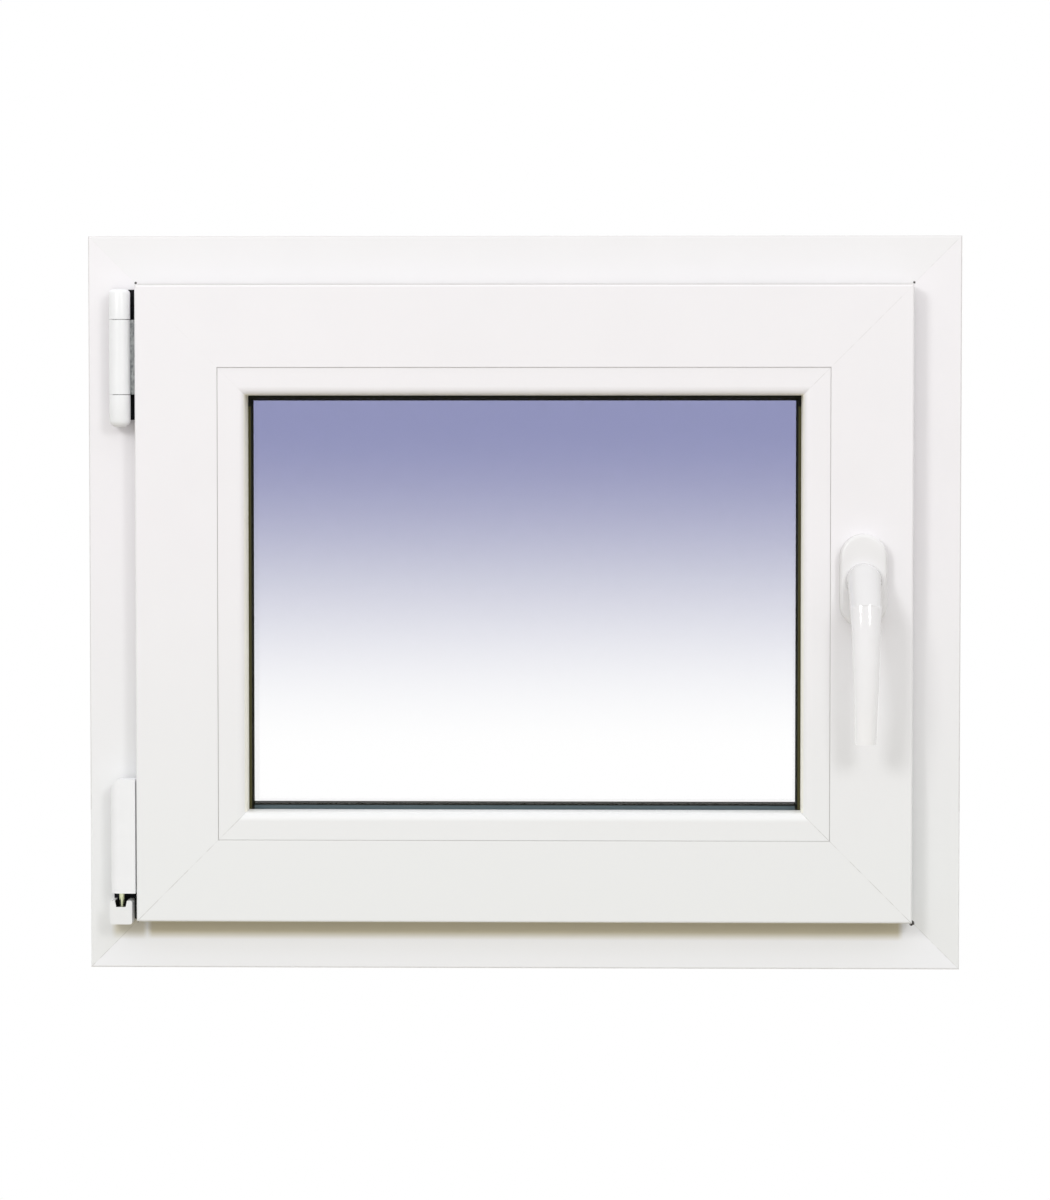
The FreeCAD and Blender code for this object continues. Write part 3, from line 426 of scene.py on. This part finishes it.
def platedSteel(name, tone, toneLow, rough):
    # plated pressed steel: dull sheen, with upright rubbing streaks and cloudy spangle
    material, tree, shader, place = newMaterial(name)
    fine = 1 / metal["streak"]
    drawn = addNode(tree, "ShaderNodeVectorMath", {
        0: place, 1: [fine, fine, fine * metal["streakStretch"]]}, operation="MULTIPLY").outputs[0]
    streaks = addNode(tree, "ShaderNodeTexNoise", {"Vector": drawn, "Scale": 1.0, "Detail": 4.0}).outputs[0]
    cloud = addNode(tree, "ShaderNodeTexVoronoi", {
        "Vector": place, "Scale": 1 / metal["spangle"]}).outputs["Distance"]
    mixed = addNode(tree, "ShaderNodeMath", {
        0: cloud, 1: metal["spangleShare"], 2: streaks}, operation="MULTIPLY_ADD").outputs[0]
    ramp = addNode(tree, "ShaderNodeMapRange", {
        "Value": mixed, "From Min": metal["rampFrom"], "From Max": metal["rampTo"]}).outputs[0]
    colour = layered(tree, linear(toneLow), ((ramp, tone),))
    roughRange = (rough - metal["smoother"], rough + metal["rougher"])
    finishSurface(tree, shader, colour, streaks, roughRange, streaks, metal["bump"])
    shader.inputs["Metallic"].default_value = 1.0
    return material


paint(["upper_hinge_leaf", "upper_hinge_pin", "handle_spindle"],
      platedSteel("zinc_plated_steel", *metal["zinc"]))
paint(["lower_hinge_pivot"], platedSteel("yellow_passivated_steel", *metal["passivated"]))
# painted shade: the plates behind the hinges are black so the gaps beside the covers look deeply shaded
paint(["upper_hinge_plate", "lower_hinge_plate"], platedSteel("black_steel_painted_shade", *metal["shadeBlack"]))
print("metal painted")

# gaskets and spacer
rubber = {
    "tone": "#070705", "toneHigh": "#191A0D", "bloom": 0.006, "skin": 0.0007,
    "gasket": (0.46, 0.12), "spacer": (0.6, 0.0),    # roughness and specular level
    "smoother": 0.06, "rougher": 0.08, "bump": (0.15, 0.0001), "ior": 1.52,
    "slateSheen": "#4C595E", "slateSheenFrom": 0.1124, "slateSheenTo": 0.1121, "slateSheenWide": 0.1868,  # painted sheen, slate grey, on the bottom gasket
    "oliveReflection": "#4B482C", "oliveReflectionFrom": 0.1884, "oliveReflectionTo": 0.1888, "oliveReflectionBelow": 0.388,  # painted olive reflection of the glass edge on the side gaskets
}


def blackRubber(name, roughness, gloss, sheenPainted=False):
    # extruded EPDM and spacer plastic: near black and dull, with a slight cloudy bloom
    material, tree, shader, place = newMaterial(name)
    bloom = addNode(tree, "ShaderNodeTexNoise", {
        "Vector": place, "Scale": 1 / rubber["bloom"], "Detail": 3.0}).outputs[0]
    layers = [(bloom, rubber["toneHigh"])]
    # painted sheen at the bottom and painted reflection at the sides
    if sheenPainted:
        xyz = addNode(tree, "ShaderNodeSeparateXYZ", {0: place}).outputs
        across = addNode(tree, "ShaderNodeMath", {0: xyz["X"]}, operation="ABSOLUTE").outputs[0]
        slateSheen = addNode(tree, "ShaderNodeMapRange", {
            "Value": xyz["Z"], "From Min": rubber["slateSheenTo"], "From Max": rubber["slateSheenFrom"],
            "To Min": 1.0, "To Max": 0.0}).outputs[0]
        oliveReflection = addNode(tree, "ShaderNodeMapRange", {
            "Value": across, "From Min": rubber["oliveReflectionFrom"], "From Max": rubber["oliveReflectionTo"]}).outputs[0]
        for share, measure, limit, tone in ((slateSheen, across, rubber["slateSheenWide"], rubber["slateSheen"]),
                                            (oliveReflection, xyz["Z"], rubber["oliveReflectionBelow"], rubber["oliveReflection"])):
            inside = addNode(tree, "ShaderNodeMath", {0: measure, 1: limit}, operation="LESS_THAN").outputs[0]
            share = addNode(tree, "ShaderNodeMath", {0: share, 1: inside}, operation="MULTIPLY").outputs[0]
            layers.append((share, tone))
    colour = layered(tree, linear(rubber["tone"]), layers)
    skin = addNode(tree, "ShaderNodeTexNoise", {
        "Vector": place, "Scale": 1 / rubber["skin"], "Detail": 2.0}).outputs[0]
    roughRange = (roughness - rubber["smoother"], roughness + rubber["rougher"])
    finishSurface(tree, shader, colour, bloom, roughRange, skin, rubber["bump"])
    shader.inputs["IOR"].default_value = rubber["ior"]
    shader.inputs["Specular IOR Level"].default_value = gloss
    return material


paint(["inner_glazing_gasket"], blackRubber("extruded_epdm_painted_sheen", *rubber["gasket"], sheenPainted=True))
paint(["outer_glazing_gasket", "sash_gasket", "frame_gasket"],
      blackRubber("extruded_epdm", *rubber["gasket"]))
paint(["spacer_bar"], blackRubber("warm_edge_spacer", *rubber["spacer"]))
print("gaskets painted")

# glass
glass = {"high": "#8E91BA", "low": "#FFFFFF", "from": 0.382, "to": 0.144, "ior": 1.5}  # painted sky reflection and its fade


def floatGlass(name, skyPainted):
    # float glass: clear and mirror smooth; on the room side a painted violet-blue sky reflection fades out
    # downwards
    material, tree, shader, place = newMaterial(name)
    shader.inputs["Transmission Weight"].default_value = 1.0
    shader.inputs["Roughness"].default_value = 0.0
    shader.inputs["IOR"].default_value = glass["ior"]
    shader.inputs["Base Color"].default_value = linear(glass["low"])
    if skyPainted:
        height = addNode(tree, "ShaderNodeSeparateXYZ", {0: place}).outputs["Z"]
        fade = addNode(tree, "ShaderNodeMapRange", {
            "Value": height, "From Min": glass["to"], "From Max": glass["from"]},
            interpolation_type="SMOOTHSTEP").outputs[0]
        skyReflection = layered(tree, linear(glass["low"]), ((fade, glass["high"]),))
        tree.links.new(skyReflection, shader.inputs["Base Color"])
    return material


paint(["inner_pane"], floatGlass("float_glass_painted_sky", True))
paint(["outer_pane"], floatGlass("clear_float_glass", False))
for name in ("inner_pane", "outer_pane"):  # daylight passes to the reveal behind
    nodes[name].visible_diffuse = False
    nodes[name].visible_shadow = False
print("glass painted")

# floor, world, lamps and camera
studio = {
    "floorTone": "#F2EEE6", "floorBounce": "#9A9588", "floorGlow": 0.35, "floorDrop": 0.9, "floorSize": 6.0,
    "floorSpeckles": 3.0, "floorRough": (0.7, 0.85),                        # speckles to a metre
    "fillHigh": 0.965, "fillLow": 0.41, "fillFrom": -0.35, "fillTo": 0.55,  # fill light from above and below
    "warmLow": "#FAF8F3", "white": "#FFFFFF",
    "lamps": (  # name, turn, lift, distance, width, height, power, rays
        ("key_left", -25.8, 22.0, 2.75, 0.55, 0.65, 16.6, "all"),
        ("key_right", 22.4, 22.0, 2.7, 0.5, 0.65, 11.2, "all"),
        ("back_left", -132.0, 16.0, 2.6, 0.9, 0.9, 13.0, "diffuse"),
        ("back_right", 132.0, 16.0, 2.6, 0.9, 0.9, 13.0, "diffuse"),
        ("glint_left", -33.0, 13.8, 2.6, 0.36, 0.2, 4.5, "glossy"),  # bright strips that only gloss shows
        ("glint_right", 28.0, 13.8, 2.6, 0.36, 0.2, 4.5, "glossy"),
    ),
}
view = {
    "turn": 1.3, "lift": 2.5, "distance": 2.8, "aim": (0.0006, -0.035, 0.2548),
    "tall": 0.8262, "sensor": 36.0, "farthest": 50,  # tall is the picture's height at the aim
}


def seenDirectly(tree):  # 1 for rays that show a thing itself, 0 for those that only light others
    rays = addNode(tree, "ShaderNodeLightPath").outputs
    seen = rays["Is Camera Ray"]
    for kind in ("Is Glossy Ray", "Is Transmission Ray"):
        seen = addNode(tree, "ShaderNodeMath", {0: seen, 1: rays[kind]}, operation="MAXIMUM").outputs[0]
    return seen


def putRound(thing, turn, lift, distance):  # round the aim, facing it; 0 turn is in front
    turn = math.radians(turn)
    lift = math.radians(lift)
    away = Vector((math.sin(turn) * math.cos(lift), -math.cos(turn) * math.cos(lift), math.sin(lift)))
    thing.location = Vector(view["aim"]) + away * distance
    thing.rotation_euler = (Vector(view["aim"]) - thing.location).to_track_quat("-Z", "Y").to_euler()


def paintedFloor(name):
    # painted floor: matt and pale where it is seen, darker to the light that it throws back
    material, tree, shader, place = newMaterial(name)
    seen = seenDirectly(tree)
    low, high = studio["floorRough"]
    speckle = addNode(tree, "ShaderNodeTexNoise", {
        "Vector": place, "Scale": studio["floorSpeckles"], "Detail": 4.0}).outputs[0]
    rough = addNode(tree, "ShaderNodeMapRange", {"Value": speckle, "To Min": low, "To Max": high}).outputs[0]
    glow = addNode(tree, "ShaderNodeMath", {0: seen, 1: studio["floorGlow"]}, operation="MULTIPLY").outputs[0]
    tone = layered(tree, linear(studio["floorBounce"]), ((seen, studio["floorTone"]),))
    tree.links.new(tone, shader.inputs["Base Color"])
    tree.links.new(rough, shader.inputs["Roughness"])
    tree.links.new(glow, shader.inputs["Emission Strength"])
    return material


bpy.ops.object.select_all(action="DESELECT")
bpy.ops.mesh.primitive_plane_add(size=studio["floorSize"], location=(0, 0, -studio["floorDrop"]))
floor = bpy.context.active_object
floor.name = "studio_floor"
floor.data.materials.append(paintedFloor("painted_floor"))
floor.visible_transmission = False  # not seen through the panes

world = bpy.data.worlds.new("studio")
bpy.context.scene.world = world
world.use_nodes = True
tree = world.node_tree
tree.nodes.clear()
seen = seenDirectly(tree)
direction = addNode(tree, "ShaderNodeTexCoord").outputs["Generated"]
upward = addNode(tree, "ShaderNodeSeparateXYZ", {0: direction}).outputs["Z"]
upward = addNode(tree, "ShaderNodeMapRange", {
    "Value": upward, "From Min": studio["fillFrom"], "From Max": studio["fillTo"]}).outputs[0]
level = addNode(tree, "ShaderNodeMapRange", {
    "Value": upward, "To Min": studio["fillLow"], "To Max": studio["fillHigh"]}).outputs[0]
level = addNode(tree, "ShaderNodeMix", {0: seen, 2: level, 3: 1.0}).outputs[0]  # white where it is seen
whiteness = addNode(tree, "ShaderNodeMath", {0: upward, 1: seen}, operation="MAXIMUM").outputs[0]
tone = layered(tree, linear(studio["warmLow"]), ((whiteness, studio["white"]),))
sky = addNode(tree, "ShaderNodeBackground", {"Color": tone, "Strength": level})
addNode(tree, "ShaderNodeOutputWorld", {"Surface": sky.outputs[0]})


def addLamp(name, turn, lift, distance, width, height, power, rays):
    data = bpy.data.lights.new(name, "AREA")
    data.shape = "RECTANGLE"
    data.size = width
    data.size_y = height
    data.energy = power
    lamp = bpy.data.objects.new(name, data)
    bpy.context.scene.collection.objects.link(lamp)
    lamp.visible_glossy = rays != "diffuse"
    lamp.visible_diffuse = rays != "glossy"
    lamp.visible_transmission = False  # not seen through the panes
    putRound(lamp, turn, lift, distance)


for lampSettings in studio["lamps"]:
    addLamp(*lampSettings)

cameraData = bpy.data.cameras.new("camera")
cameraData.sensor_fit = "VERTICAL"
cameraData.sensor_height = view["sensor"]
cameraData.lens = view["sensor"] * view["distance"] / view["tall"]
cameraData.clip_end = view["farthest"]
camera = bpy.data.objects.new("camera", cameraData)
bpy.context.scene.collection.objects.link(camera)
putRound(camera, view["turn"], view["lift"], view["distance"])
bpy.context.scene.camera = camera
bpy.context.scene.view_settings.view_transform = "Standard"
print("studio ready")
